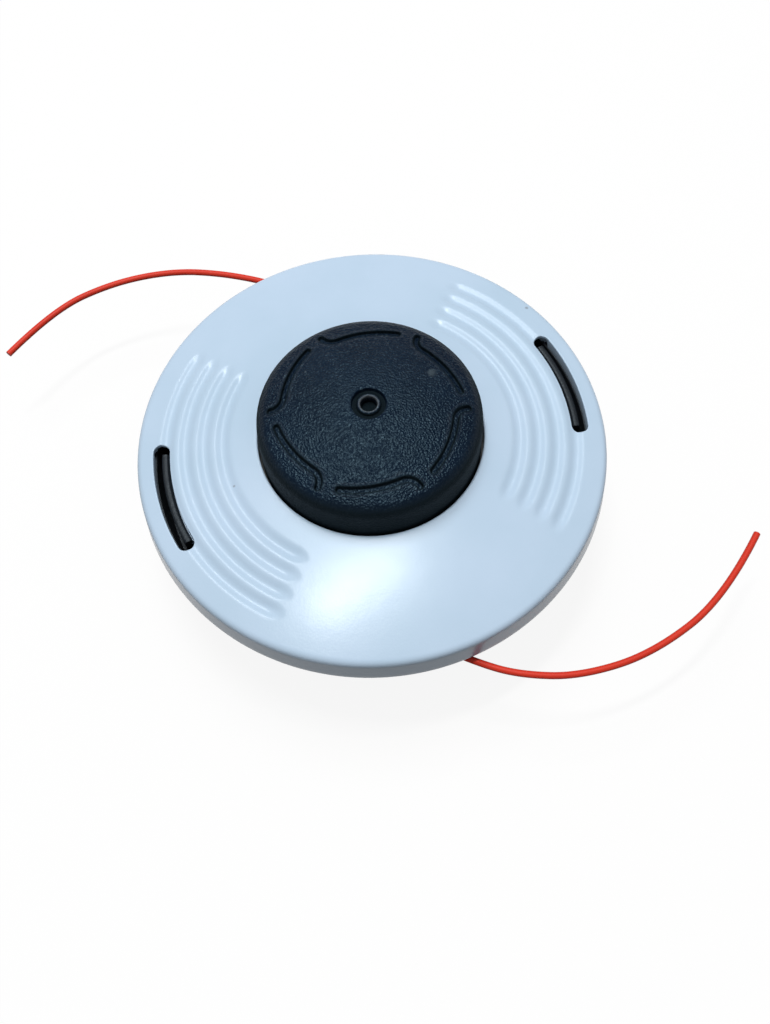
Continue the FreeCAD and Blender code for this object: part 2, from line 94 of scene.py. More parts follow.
def free_line(node, route, material):
    """Free line end: a NURBS curve of order 3 with the route as control points, 2 mm thick."""
    curve = bpy.data.curves.new("red_" + node, "CURVE")
    curve.dimensions = "3D"
    curve.resolution_u = 24
    curve.bevel_depth = LINE_RADIUS * MM
    curve.bevel_resolution = 5
    curve.use_fill_caps = True
    spline = curve.splines.new("NURBS")
    spline.points.add(len(route) - 1)
    for point, (x, y) in zip(spline.points, route):
        point.co = (x * MM, y * MM, LINE_Z * MM, 1.0)
    spline.order_u = 3
    spline.use_endpoint_u = True
    curve.materials.append(material)
    piece = bpy.data.objects.new("red_" + node, curve)
    bpy.context.scene.collection.objects.link(piece)
    dress(piece, "housing", "line_red", node)


# Mesh helpers

WELD_DISTANCE = 2e-6


def even_turn(count):
    """Angles of even steps once round."""
    return np.arange(count) * (2 * math.pi / count)


def eased(share):
    """Smooth step from 0 to 1 with level ends."""
    return share * share * (3 - 2 * share)


def bent(start, corner, end, count):
    """Points of a quadratic curve that leaves start and reaches end along the lines to the corner."""
    t = np.linspace(0.0, 1.0, count)[:, None]
    start, corner, end = (np.asarray(p, float) for p in (start, corner, end))
    return (1 - t) ** 2 * start + 2 * t * (1 - t) * corner + t ** 2 * end


def grid_faces(rows, columns):
    """Four-cornered faces of a grid of points stored row by row, its last column joined to its first."""
    row = np.arange(rows - 1)[:, None]
    column = np.arange(columns)[None, :]
    low = row * columns + column
    high = row * columns + (column + 1) % columns
    return np.stack([low, high, high + columns, low + columns], -1).reshape(-1, 4)


def polar_points(radius, angle, height):
    """Points from radius, angle and height arrays of one shape, as rows of x, y and z."""
    return np.stack([radius * np.cos(angle), radius * np.sin(angle), height], -1).reshape(-1, 3)


def turned_patch(profile, columns):
    """Surface of revolution about Z: each (r, z) of the profile carried once round in even steps."""
    profile = np.asarray(profile, float)
    radius = np.repeat(profile[:, :1], columns, 1)
    height = np.repeat(profile[:, 1:], columns, 1)
    points = polar_points(radius, even_turn(columns)[None, :], height)
    return points, grid_faces(len(profile), columns)


def swept_arc(profile, core, middle, half, count):
    """Closed (r, z) profile carried along an arc about Z, its ends drawn in to a line at the core."""
    profile = np.asarray(profile, float)
    angle = np.concatenate([[-half], np.linspace(-half, half, count), [half]]) + middle
    end = np.stack([np.full(len(profile), core), profile[:, 1]], 1)
    rows = np.stack([end] + [profile] * count + [end])
    points = polar_points(rows[:, :, 0], angle[:, None], rows[:, :, 1])
    return points, grid_faces(count + 2, len(profile))


def joined(patches):
    """One array of points and one of faces from several patches."""
    points = []
    faces = []
    count = 0
    for patch_points, patch_faces in patches:
        points.append(patch_points)
        faces.append(patch_faces + count)
        count += len(patch_points)
    return np.concatenate(points), np.concatenate(faces)


def shell_object(name, points, faces, material, sharp_angle=40.0, painted_shade_and_highlight=None):
    """Mesh piece from points in millimetres: welded, faces outwards, smooth but for sharp corners.

    A value of painted shading for each point, from -1 for painted highlight to 1 for painted
    shade, goes with the mesh as an attribute.
    """
    mesh = bpy.data.meshes.new(name)
    mesh.from_pydata((points * MM).tolist(), [], faces.tolist())
    # Painted shading goes with the mesh as a point attribute.
    if painted_shade_and_highlight is not None:
        mesh.attributes.new("painted_shade_and_highlight", "FLOAT", "POINT").data.foreach_set("value", painted_shade_and_highlight)
    build = bmesh.new()
    build.from_mesh(mesh)
    bmesh.ops.remove_doubles(build, verts=build.verts, dist=WELD_DISTANCE)
    bmesh.ops.recalc_face_normals(build, faces=build.faces)
    build.to_mesh(mesh)
    build.free()
    mesh.polygons.foreach_set("use_smooth", np.ones(len(mesh.polygons), bool))
    mesh.set_sharp_from_angle(angle=math.radians(sharp_angle))
    mesh.materials.append(material)
    piece = bpy.data.objects.new(name, mesh)
    bpy.context.scene.collection.objects.link(piece)
    return piece


def dress(piece, body, slot, *nodes):
    """Lets a piece ride on its body and stand for the nodes it replaces; the slot is not used."""
    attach(piece, body)
    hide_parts(*nodes)


# Cover

COVER_COLUMNS = 640
SLOT_COLUMNS = 32
SLOT_ROWS = 16
SLOT_MIDDLE = 60.7
SLOT_HALF_ANGLE = math.radians(14.3)
SLOT_HALF_WIDTH = 2.4
SLOT_LIP = 0.3
LIP_Z = 42.0
LEDGE_Z = 39.9
LEDGE_END = 59.1
RIB_INNER = 56.8
RIB_Z = 37.4
POCKET_OVERRUN = 1.0
SEAT_INNER = 62.6
SEAT_STEP = 0.05
SEAT_Z = 39.2
SEAT_ROW = 64.0
HOLE_RADIUS = 32.5
HOLE_ROUND = 0.6
COLLAR_RADIUS = 34.7
COLLAR_Z = 39.0
COLLAR_BEVEL = 0.2
RIM_RADIUS = 68.2
RIM_ROUND = 1.8
RIM_CORNER_IN = 0.1
RIM_CORNER_RUN = 1.75
RIM_Z = 42.0
HOLE_Z = 47.0
PLATE = 2.4
DOME_SPAN = HOLE_RADIUS ** 2 + HOLE_Z ** 2 - RIM_RADIUS ** 2 - RIM_Z ** 2
DOME_CENTRE = DOME_SPAN / (2 * (HOLE_Z - RIM_Z))
DOME_RADIUS = math.hypot(RIM_RADIUS, RIM_Z - DOME_CENTRE)
SKIRT_TOP = 40.2
SKIRT_FOOT = 33.6
SKIRT_RADIUS = 68.8
SKIRT_ROUND = 0.35
SKIRT_DRAFT = 0.03
SKIRT_INNER = 65.9
SKIRT_INNER_ROUND = 0.3
RIPPLE_RADII = 42.64 + 5.45 * np.arange(4)
RIPPLE_HALF_WIDTH = 2.65
RIPPLE_DEPTH = 0.8
RIPPLE_HALF_ANGLE = math.radians(49.5)
RIPPLE_RUNOUT = 2.0
LUG_INNER = 43.5
LUG_OUTER = 49.5
LUG_MIDDLE = 46.5
LUG_STEP = 0.1
LUG_PITCH = 60.0
COVER_LUG_TURN = 5.3
COVER_LUG_HALF = 2.75
COVER_LUG_Z = 39.4
TOP_ROW = 50
TOP_WINDOW = (56.7, 64.6)
UNDER_ROW = 8
UNDER_RINGS = (39.0, 53.0)
UNDER_WINDOW = (56.5, 63.0)


def dome_height(radius, drop=0.0):
    """Height of the cover's sphere at a radius, or of the sphere a drop below it."""
    return DOME_CENTRE + np.sqrt((DOME_RADIUS - drop) ** 2 - radius ** 2)


def ripple_drop(radius, angle):
    """Depth of the ripples: half a cosine wave of the distance to each trough's middle arc.

    Past the end of the arc the distance along it counts less, so the trough ends in a long spoon.
    """
    drop = np.zeros(np.broadcast(radius, angle).shape)
    for side in (0.0, math.pi):
        turn = np.abs((angle - side + math.pi) % (2 * math.pi) - math.pi)
        for middle in RIPPLE_RADII:
            end = RIPPLE_HALF_ANGLE - RIPPLE_RUNOUT * RIPPLE_HALF_WIDTH / middle
            beyond = np.maximum(turn - end, 0.0) * middle / RIPPLE_RUNOUT
            share = np.minimum(np.hypot(radius - middle, beyond) / RIPPLE_HALF_WIDTH, 1.0)
            drop = drop + RIPPLE_DEPTH * (0.5 + 0.5 * np.cos(math.pi * share))
    return drop


def cover_top(radius, angle):
    """Height of the cover's upper face: the dome less its ripples."""
    return dome_height(radius) - ripple_drop(radius, angle)


def cover_under(radius, angle):
    """Height of the cover's lower face: inner dome, then seat, with six lugs let down to one level."""
    plate = np.where(radius < SEAT_INNER, dome_height(radius, PLATE), SEAT_Z) + 0 * angle
    half_pitch = LUG_PITCH / 2
    turn = np.abs((np.degrees(angle) - COVER_LUG_TURN + half_pitch) % LUG_PITCH - half_pitch)
    within = (radius > LUG_INNER - LUG_STEP / 2) & (radius < LUG_OUTER + LUG_STEP / 2)
    return np.where(within & (turn < COVER_LUG_HALF), COVER_LUG_Z, plate)


def slotted_sheet(radii, first_row, height):
    """Polar sheet over the given radii with a window left open at each slot."""
    radius, angle = np.meshgrid(radii, even_turn(COVER_COLUMNS), indexing="ij")
    points = polar_points(radius, angle, height(radius, angle))
    faces = grid_faces(len(radii), COVER_COLUMNS)
    row = faces[:, 0] // COVER_COLUMNS
    column = faces[:, 0] % COVER_COLUMNS
    near = (column + SLOT_COLUMNS) % (COVER_COLUMNS // 2) < 2 * SLOT_COLUMNS
    window = near & (row >= first_row) & (row < first_row + SLOT_ROWS)
    return points, faces[~window]


def window_loop(radii, first_row, side):
    """Radius and angle of the grid points once round a slot's window."""
    across = np.arange(-SLOT_COLUMNS, SLOT_COLUMNS)
    rise = np.arange(SLOT_ROWS)
    end = SLOT_COLUMNS + 0 * rise
    row = np.concatenate([0 * across, rise, SLOT_ROWS + 0 * across, SLOT_ROWS - rise])
    column = np.concatenate([across, end, -across, -end])
    return radii[first_row + row], side + column * (2 * math.pi / COVER_COLUMNS)


def slot_outline(radius, angle, side, half_width):
    """Nearest point of an arc slot's outline: on to the middle arc within its ends, half a width out."""
    along = SLOT_MIDDLE * (angle - side)
    across = radius - SLOT_MIDDLE
    foot = np.clip(along, -SLOT_MIDDLE * SLOT_HALF_ANGLE, SLOT_MIDDLE * SLOT_HALF_ANGLE)
    away = np.hypot(along - foot, across)
    along = foot + (along - foot) / away * half_width
    return SLOT_MIDDLE + across / away * half_width, side + along / SLOT_MIDDLE


def slot_patch(top_radii, under_radii, side):
    """Loops from the window in the upper face, over the slot's lip and inside it to the lower face.

    On the slot's inner side the wall drops to the latch ledge and round the rib below it, on the
    outer side it drops to the seat, and at the two ends it stops at the thin lip, under which the
    slot widens.
    """
    radius, angle = window_loop(top_radii, TOP_ROW, side)
    brow = slot_outline(radius, angle, side, SLOT_HALF_WIDTH + SLOT_LIP)
    loops = []
    for share in np.linspace(0.0, 1.0, 7):
        r = radius + share * (brow[0] - radius)
        a = angle + share * (brow[1] - angle)
        loops.append((r, a, cover_top(r, a)))
    brow_z = loops[-1][2]
    for lean in np.radians([22.5, 45.0, 67.5, 90.0]):
        half_width = SLOT_HALF_WIDTH + SLOT_LIP * (1 - math.sin(lean))
        r, a = slot_outline(radius, angle, side, half_width)
        loops.append((r, a, brow_z - SLOT_LIP * (1 - math.cos(lean))))
    wide_r, wide_a = slot_outline(radius, angle, side, SLOT_HALF_WIDTH + POCKET_OVERRUN)
    level = np.ones_like(r)
    ends = np.abs(a - side) > SLOT_HALF_ANGLE
    inner = ~ends & (r < SLOT_MIDDLE)
    wall_z = np.select([ends, inner], [LIP_Z * level, LEDGE_Z * level], SEAT_Z)
    shelf_r = np.select([ends, inner], [wide_r, LEDGE_END * level], r)
    shelf_a = np.where(ends, wide_a, a)
    foot_z = np.select([ends, inner], [cover_under(shelf_r, shelf_a), RIB_Z * level], SEAT_Z)
    rib_r = np.where(inner, RIB_INNER, shelf_r)
    back_z = np.where(inner, cover_under(rib_r, shelf_a), foot_z)
    under_r, under_a = window_loop(under_radii, UNDER_ROW, side)
    loops.extend([
        (r, a, wall_z),
        (shelf_r, shelf_a, wall_z),
        (shelf_r, shelf_a, foot_z),
        (rib_r, shelf_a, foot_z),
        (rib_r, shelf_a, back_z),
        (under_r, under_a, cover_under(under_r, under_a)),
    ])
    radius, angle, height = (np.stack(values) for values in zip(*loops))
    return polar_points(radius, angle, height), grid_faces(len(loops), radius.shape[1])


def cover_skirt(edge):
    """Profile from the dome's edge over the rounded rim, down the skirt and up inside to the seat."""
    edge_z = float(dome_height(edge))
    slope = edge / (edge_z - DOME_CENTRE)
    corner = (RIM_RADIUS - RIM_CORNER_IN, edge_z - RIM_CORNER_RUN * slope)
    side_top = (RIM_RADIUS, SKIRT_TOP)
    side_end = (SKIRT_RADIUS - SKIRT_DRAFT, SKIRT_FOOT + SKIRT_ROUND)
    foot = (SKIRT_RADIUS - SKIRT_ROUND, SKIRT_FOOT)
    inner_foot = (SKIRT_INNER + SKIRT_INNER_ROUND, SKIRT_FOOT)
    inner_side = (SKIRT_INNER, SKIRT_FOOT + SKIRT_INNER_ROUND)
    return np.concatenate([
        bent((edge, edge_z), corner, side_top, 12),
        np.linspace(side_top, side_end, 6)[1:],
        bent(side_end, (SKIRT_RADIUS, SKIRT_FOOT), foot, 4)[1:],
        bent(inner_foot, (SKIRT_INNER, SKIRT_FOOT), inner_side, 4),
        [(SKIRT_INNER, SEAT_Z), (SEAT_ROW, SEAT_Z)],
    ])


def cover_collar(brow):
    """Profile from the lower face down the collar, and up the knob hole to its rounded brow."""
    brow_z = float(dome_height(brow))
    return np.concatenate([
        [(COLLAR_RADIUS, float(dome_height(COLLAR_RADIUS, PLATE))), (COLLAR_RADIUS, COLLAR_Z)],
        [(HOLE_RADIUS + COLLAR_BEVEL, COLLAR_Z), (HOLE_RADIUS, COLLAR_Z + COLLAR_BEVEL)],
        bent((HOLE_RADIUS, brow_z - HOLE_ROUND), (HOLE_RADIUS, brow_z), (brow, brow_z), 6),
    ])


def make_cover(material):
    """White cover as one closed shell: slotted dome, rim and skirt, slotted lower face and collar."""
    brow = HOLE_RADIUS + HOLE_ROUND
    edge = RIM_RADIUS - RIM_ROUND
    top_radii = np.concatenate([
        np.linspace(brow, TOP_WINDOW[0], TOP_ROW + 1)[:-1],
        np.linspace(*TOP_WINDOW, SLOT_ROWS + 1)[:-1],
        np.linspace(TOP_WINDOW[1], edge, 5),
    ])
    under_radii = np.concatenate([
        [COLLAR_RADIUS, UNDER_RINGS[0]],
        [LUG_INNER - LUG_STEP, LUG_INNER, LUG_MIDDLE, LUG_OUTER, LUG_OUTER + LUG_STEP],
        [UNDER_RINGS[1]],
        np.linspace(UNDER_WINDOW[0], SEAT_INNER - SEAT_STEP, 13),
        [SEAT_INNER],
        np.linspace(UNDER_WINDOW[1], SEAT_ROW, 3),
    ])
    patches = [
        slotted_sheet(top_radii, TOP_ROW, cover_top),
        turned_patch(cover_skirt(edge), COVER_COLUMNS),
        slotted_sheet(under_radii, UNDER_ROW, cover_under),
        turned_patch(cover_collar(brow), COVER_COLUMNS),
    ]
    patches.extend(slot_patch(top_radii, under_radii, side) for side in (0.0, math.pi))
    cover = shell_object("white_cover", *joined(patches), material)
    dress(cover, "housing", "cover_white", "lower_cover")


# Bump knob

KNOB_COLUMNS = 800
KNOB_RADIUS = 31.7
KNOB_TOP = 62.94
KNOB_RISE = 4.9
KNOB_EDGE = 4.2
KNOB_FOOT = 43.2
KNOB_FOOT_RADIUS = 32.0
KNOB_FOOT_ROUND = 0.4
KNOB_DRAFT = 0.01
KNOB_INNER = 29.1
KNOB_INNER_ROUND = 0.6
KNOB_INNER_BEVEL = 0.2
KNOB_INNER_ROW = 49.0
KNOB_CEILING = 55.4
CEILING_RINGS = (0.0, 12.0, 20.0)
GROOVE_TURN = -5.8
GROOVE_PITCH = 60.0
GROOVE_LEAD = 4.25
GROOVE_DEPTH = 1.0
GROOVE_FLOOR = 0.62
GROOVE_BRIM = 0.88
GROOVE_BAND = 22.4
GROOVE_POINTS = ((26.0, 0.0), (24.9, 16.5), (24.1, 39.8), (27.4, 48.1))
# Painted shade darkens the groove walls; painted highlight lightens their brims by a share.
GROOVE_SHADE = (0.78, 0.68)
BRIM_HIGHLIGHT = (1.65, 0.2)
BRIM_HIGHLIGHT_SHARE = 0.2
# Over this height the knob's side below the round edge takes painted shade.
SIDE_FADE = 1.8
MARK_BAND = (2.1, 5.3)
MARK_RADII = (0.0, 2.2, 2.35, 2.6, 3.05, 3.35, 3.5, 4.6, 4.95, 5.25)
MARK_DROPS = (3.2, 3.2, 0.6, 0.3, 0.3, 0.55, 1.2, 1.2, 0.12, 0.0)
# Centre mark: painted shade in the hole and outer ring, painted highlight (values below zero) on the
# inner rim.
MARK_SHADE_RADII = (0.0, 2.2, 2.35, 2.5, 2.95, 3.3, 4.5, 4.9)
MARK_SHADES = (1.0, 1.0, -0.8, -1.0, -0.3, 1.0, 1.0, 0.0)
FINGER_COUNT = 4
FINGER_CORE = 20.9
FINGER_HALF = math.radians(17.0)
FINGER_HOOK = (
    (19.8, 55.6), (19.8, 45.2), (22.0, 45.2), (23.2, 46.7), (23.2, 48.2), (22.0, 48.2), (22.0, 55.6),
)


def arc_distance(x, y, hub, first, last):
    """Distance in plan to an arc about a hub: off the circle in its span, else to the nearer end."""
    start = np.subtract(first, hub)
    end = np.subtract(last, hub)
    radius = math.hypot(*start)
    middle = start + end
    middle = middle / math.hypot(*middle)
    dx = x - hub[0]
    dy = y - hub[1]
    reach = np.hypot(dx, dy)
    within = dx * middle[0] + dy * middle[1] >= reach * (start @ middle) / radius
    ends = np.minimum(np.hypot(x - first[0], y - first[1]), np.hypot(x - last[0], y - last[1]))
    return np.where(within, np.abs(reach - radius), ends)


def groove_distance(radius, angle):
    """Distance in plan to the nearest of six curled lines, each a long arc and a tangent hook."""
    turn = (np.degrees(angle) - GROOVE_TURN + GROOVE_LEAD) % GROOVE_PITCH - GROOVE_LEAD
    x = radius * np.cos(np.radians(turn))
    y = radius * np.sin(np.radians(turn))
    reach, bearing = np.transpose(GROOVE_POINTS)
    bearing = np.radians(bearing)
    start, via, waist, end = np.stack([reach * np.cos(bearing), reach * np.sin(bearing)], 1)
    rows = 2 * np.array([via - start, waist - start])
    hub = np.linalg.solve(rows, [via @ via - start @ start, waist @ waist - start @ start])
    normal = (waist - hub) / math.hypot(*(waist - hub))
    chord = end - waist
    hook_hub = waist + normal * (chord @ chord) / (2 * (chord @ normal))
    long_arc = arc_distance(x, y, hub, start, waist)
    hook = arc_distance(x, y, hook_hub, waist, end)
    return np.minimum(long_arc, hook)


def hump(value, middle, half):
    """Smooth hump of height 1 about a middle value, down to 0 half a width away."""
    return 1 - eased(np.clip(np.abs(value - middle) / half, 0.0, 1.0))


def knob_body(edge, round_z):
    """Profile from the middle of the ceiling, down the inside, round the foot and up to the edge."""
    foot_side = (KNOB_FOOT_RADIUS - KNOB_DRAFT, KNOB_FOOT + KNOB_FOOT_ROUND)
    foot_end = (KNOB_FOOT_RADIUS - KNOB_FOOT_ROUND, KNOB_FOOT)
    inner_top = (KNOB_INNER - KNOB_INNER_ROUND, KNOB_CEILING)
    inner_side = (KNOB_INNER, KNOB_CEILING - KNOB_INNER_ROUND)
    return np.concatenate([
        [(radius, KNOB_CEILING) for radius in CEILING_RINGS],
        bent(inner_top, (KNOB_INNER, KNOB_CEILING), inner_side, 4),
        [(KNOB_INNER, KNOB_INNER_ROW), (KNOB_INNER, KNOB_FOOT + KNOB_INNER_BEVEL)],
        np.linspace((KNOB_INNER + KNOB_INNER_BEVEL, KNOB_FOOT), foot_end, 3),
        bent(foot_end, (KNOB_FOOT_RADIUS, KNOB_FOOT), foot_side, 4)[1:],
        np.linspace(foot_side, (KNOB_RADIUS, round_z), 7)[1:],
        edge[1:-1],
    ])


def make_knob(material):
    """Bump knob as one closed turned shell, grooves and centre mark let into its dome, and fingers."""
    ball = (KNOB_RADIUS ** 2 + KNOB_RISE ** 2) / (2 * KNOB_RISE)
    centre = KNOB_TOP - ball
    round_r = KNOB_RADIUS - KNOB_EDGE
    round_z = centre + math.sqrt((ball - KNOB_EDGE) ** 2 - round_r ** 2)
    lean = np.linspace(0.0, math.atan2(round_z - centre, round_r), 16)
    edge = np.stack([round_r + KNOB_EDGE * np.cos(lean), round_z + KNOB_EDGE * np.sin(lean)], 1)
    body = knob_body(edge, round_z)
    mark = np.sort(np.concatenate([MARK_RADII, np.linspace(*MARK_BAND, 14)]))[::-1]
    crown = np.concatenate([
        np.linspace(edge[-1, 0], GROOVE_BAND, 42),
        np.linspace(GROOVE_BAND, mark[0], 18)[1:],
        mark[1:],
    ])
    crown_z = centre + np.sqrt(ball ** 2 - crown ** 2)
    angle = even_turn(KNOB_COLUMNS)
    radius = np.concatenate([body[:, 0], crown])[:, None] + 0 * angle
    height = np.concatenate([body[:, 1], crown_z])[:, None] + 0 * angle
    angle = angle[None, :] + 0 * radius
    dome = np.arange(len(radius))[:, None] >= len(body)
    distance = groove_distance(radius, angle)
    share = np.clip((distance - GROOVE_FLOOR) / (GROOVE_BRIM - GROOVE_FLOOR), 0.0, 1.0)
    groove = GROOVE_DEPTH * (1 - eased(share))
    drop = np.where(dome, groove + np.interp(radius, MARK_RADII, MARK_DROPS), 0.0)
    # Painted shading: shade above zero, highlight below zero; the material paints both into the colour.
    painted_shading = hump(distance, *GROOVE_SHADE) - BRIM_HIGHLIGHT_SHARE * hump(distance, *BRIM_HIGHLIGHT)
    painted_shading = painted_shading + np.interp(radius, MARK_SHADE_RADII, MARK_SHADES)
    side = np.clip((edge[-1, 1] - height) / SIDE_FADE, 0.0, 1.0)
    painted_shade_and_highlight = np.clip(np.where(dome, painted_shading, side), -1.0, 1.0)
    cap = polar_points(radius, angle, height - drop)
    patches = [(cap, grid_faces(len(radius), KNOB_COLUMNS))]
    for middle in even_turn(FINGER_COUNT):
        patches.append(swept_arc(FINGER_HOOK, FINGER_CORE, middle, FINGER_HALF, 9))
    points, faces = joined(patches)
    painted_shade_and_highlight = np.concatenate([painted_shade_and_highlight.ravel(), np.zeros(len(points) - painted_shade_and_highlight.size)])
    knob = shell_object("bump_knob_cap", points, faces, material, sharp_angle=50.0, painted_shade_and_highlight=painted_shade_and_highlight)
    dress(knob, "spool", "knob_black", "bump_knob")


# Housing

HOUSING_COLUMNS = 360
FLAT_RADIUS = 50.5
FOOT_Z = 27.0
RIM_REACH = 1.4
FLOOR_UNDER = 5.8
FLOOR_TOP = 8.8
OUTER_WALL = (FLOOR_UNDER, 64.0)
INNER_WALL = (FLOOR_TOP, 61.4)
BEND_ROWS = 18
FLOOR_OUTER = 46.0
FLOOR_BY_HUB = 28.0
FLOOR_BY_POST = 18.0
SHAFT_RADIUS = 5.2
SHAFT_TOP = 20.0
NUT_TOP = 14.0
NUT_HALF_FLATS = 8.5
NUT_CORNERS = 6
HEXAGON = -1.0
HUB_RADIUS = 21.0
HUB_ROUND = 0.6
HUB_FILLET = 1.0
POST = ((13.0, FLOOR_TOP), (13.0, 18.0), (8.0, 20.0), (8.0, 46.0), (7.0, 47.0), (0.0, 47.0))
EYELET_RADIUS = 62.2
EYELET_BORE = 3.03
FLANGE_BORE = 4.5
FLANGE_BEVEL = 0.3
FLANGE_SEAT = -1.2
BOSS_RADIUS = 5.2
BOSS_END = -5.4
BOSS_STEP = 0.05
SLANT = math.sqrt(0.5)
POCKET_Z = np.linspace(24.6, 36.4, 13)
POCKET_COLUMNS = 24
OUTER_POCKET = -100
INNER_POCKET = -103
BOWL_RIB_COUNT = 8
BOWL_RIB_ENDS = (20.0, 50.2)
BOWL_RIB_MIDDLE = 35.0
BOWL_RIB_EDGE_Z = (1.2, 4.6)
BOWL_RIB_ROOT_Z = 6.3
BOWL_RIB_ACROSS = (-1.2, -1.2, -1.1, -0.8, 0.8, 1.1, 1.2, 1.2)
BOWL_RIB_LIFT = (0.0, 0.4, 0.12, 0.0, 0.0, 0.12, 0.4, 0.0)
LUG_COUNT = 6
FLOOR_LUG_TURN = 35.3
FLOOR_LUG_HALF = math.radians(2.5)
FLOOR_LUG_FOOT = 8.3
FLOOR_LUG_TOP = 11.6
TONGUE_CORE = 60.0
TONGUE_HALF = math.radians(14.0)
TONGUE = (
    (59.3, 25.5), (62.9, 25.5), (63.9, 28.0), (60.8, 28.0), (60.8, 41.7), (60.72, 41.95),
    (60.55, 42.12), (60.3, 42.2), (59.35, 42.2), (59.2, 42.15), (58.65, 41.3), (58.6, 41.15),
    (58.6, 40.0), (59.3, 40.0),
)


def wall_radius(z, wall):
    """Radius of the bowl's wall at a height: a quarter ellipse up from the floor, then a draft."""
    floor, foot = wall
    share = np.clip((FOOT_Z - z) / (FOOT_Z - floor), 0.0, 1.0)
    curve = FLAT_RADIUS + (foot - FLAT_RADIUS) * np.sqrt(1 - share * share)
    return curve + RIM_REACH * np.maximum(z - FOOT_Z, 0.0) / (SEAT_Z - FOOT_Z)


def wall_rows(wall):
    """Profile points of one side of the bowl: the bend from the floor, the pocket's rows, the rim."""
    floor, foot = wall
    bend_end = math.acos((FOOT_Z - POCKET_Z[0]) / (FOOT_Z - floor))
    lean = np.linspace(0.0, bend_end, BEND_ROWS + 1)[:-1]
    low_r = FLAT_RADIUS + (foot - FLAT_RADIUS) * np.sin(lean)
    low_z = FOOT_Z - (FOOT_Z - floor) * np.cos(lean)
    low = np.stack([low_r, low_z], 1)
    band = np.stack([wall_radius(POCKET_Z, wall), POCKET_Z], 1)
    return np.concatenate([low, band, [(float(wall_radius(SEAT_Z, wall)), SEAT_Z)]])


def pocket_ring(turn, bore, reach):
    """Ring about the line's axis: bore from it at the angle turn, reach along it from the mouth."""
    across = bore * np.cos(turn)
    x = (reach + across) * SLANT
    y = (across - reach) * SLANT - EYELET_RADIUS
    return np.stack([x, y, LINE_Z + bore * np.sin(turn)], 1)


def wall_reach(turn, bore, wall):
    """How far along the line's axis a ring of the given bore meets the bowl's wall."""
    across = bore * np.cos(turn) * SLANT
    radius = wall_radius(LINE_Z + bore * np.sin(turn), wall)
    back = EYELET_RADIUS * SLANT
    return np.sqrt(back ** 2 - across ** 2 - (across - EYELET_RADIUS) ** 2 + radius ** 2) - back


def pocket_window(first, wall):
    """Points once round the eyelet's window in the bowl's wall, and their angles about the line."""
    columns = np.arange(POCKET_COLUMNS)
    rows = np.arange(len(POCKET_Z) - 1)
    top = len(POCKET_Z) - 1
    row = np.concatenate([0 * columns, rows, top + 0 * columns, top - rows])
    column = np.concatenate([columns, POCKET_COLUMNS + 0 * rows, POCKET_COLUMNS - columns, 0 * rows])
    angle = np.radians(first + column)
    z = POCKET_Z[row]
    points = polar_points(wall_radius(z, wall), angle, z)
    across = (points[:, 0] + points[:, 1] + EYELET_RADIUS) * SLANT
    return points, np.arctan2(z - LINE_Z, across)


def on_wall(points, wall):
    """Points pushed in or out at their own height and angle until they lie on the bowl's wall."""
    scale = wall_radius(points[:, 2], wall) / np.hypot(points[:, 0], points[:, 1])
    return points * np.stack([scale, scale, np.ones(len(scale))], 1)


def eyelet_pocket(side):
    """Loops from the outer wall's window into the flange's pocket, along the bore, over the boss."""
    outside, turn = pocket_window(OUTER_POCKET, OUTER_WALL)
    inside, inner_turn = pocket_window(INNER_POCKET, INNER_WALL)
    brim_bore = FLANGE_BORE + FLANGE_BEVEL
    brim = pocket_ring(turn, brim_bore, wall_reach(turn, brim_bore, OUTER_WALL))
    flange_top = wall_reach(turn, FLANGE_BORE, OUTER_WALL) - FLANGE_BEVEL
    boss_foot = wall_reach(inner_turn, BOSS_RADIUS, INNER_WALL)
    boss_end = np.minimum(boss_foot - BOSS_STEP, BOSS_END)
    shares = np.linspace(0.0, 1.0, 5)
    loops = [on_wall(outside + share * (brim - outside), OUTER_WALL) for share in shares]
    loops.extend([
        pocket_ring(turn, FLANGE_BORE, flange_top),
        pocket_ring(turn, FLANGE_BORE, FLANGE_SEAT),
        pocket_ring(turn, EYELET_BORE, FLANGE_SEAT),
        pocket_ring(inner_turn, EYELET_BORE, BOSS_END),
        pocket_ring(inner_turn, BOSS_RADIUS, boss_end),
        pocket_ring(inner_turn, BOSS_RADIUS, boss_foot),
        inside,
    ])
    points = np.concatenate(loops) * (side, side, 1)
    return points, grid_faces(len(loops), len(turn))


